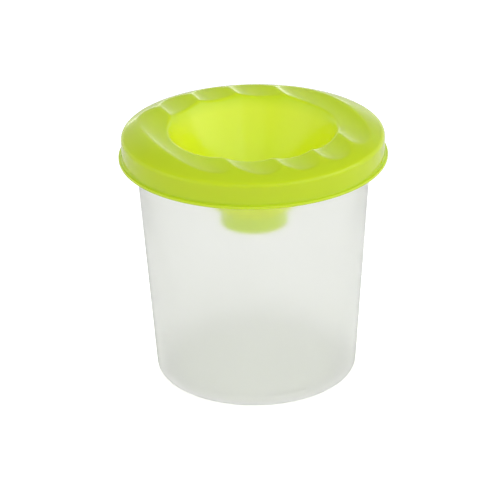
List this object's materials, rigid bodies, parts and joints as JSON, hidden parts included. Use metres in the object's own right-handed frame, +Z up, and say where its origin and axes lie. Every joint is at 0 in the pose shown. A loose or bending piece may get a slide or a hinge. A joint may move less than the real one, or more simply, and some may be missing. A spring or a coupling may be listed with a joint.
{
  "type": "brush washer with lid",
  "caption": "Tapered translucent water cup with a press-on green funnel lid, whose crown has parallel scoops to rest paint brushes on.",
  "frame": {"origin": "centre of the cup's foot, on the surface that the cup stands on", "axes": "+Z up through the cup and the funnel, which is also the way the lid lifts; the brush rests run 64.4 degrees clockwise from +X, seen from above"},
  "size_m": [0.086, 0.086, 0.0844],
  "materials": {
    "cup_plastic": "natural polypropylene, translucent and lightly frosted",
    "lid_plastic": "lime green polypropylene, glossy, lets a little light through"
  },
  "bodies": {
    "cup_body": {"cup": "cup_plastic"},
    "lid_body": {"lid": "lid_plastic"}
  },
  "joints": [
    {"name": "lid_lift", "type": "slide", "parent": "cup_body", "child": "lid_body", "axis": [0, 0, 1], "range_m": [0, 0.045]}
  ]
}
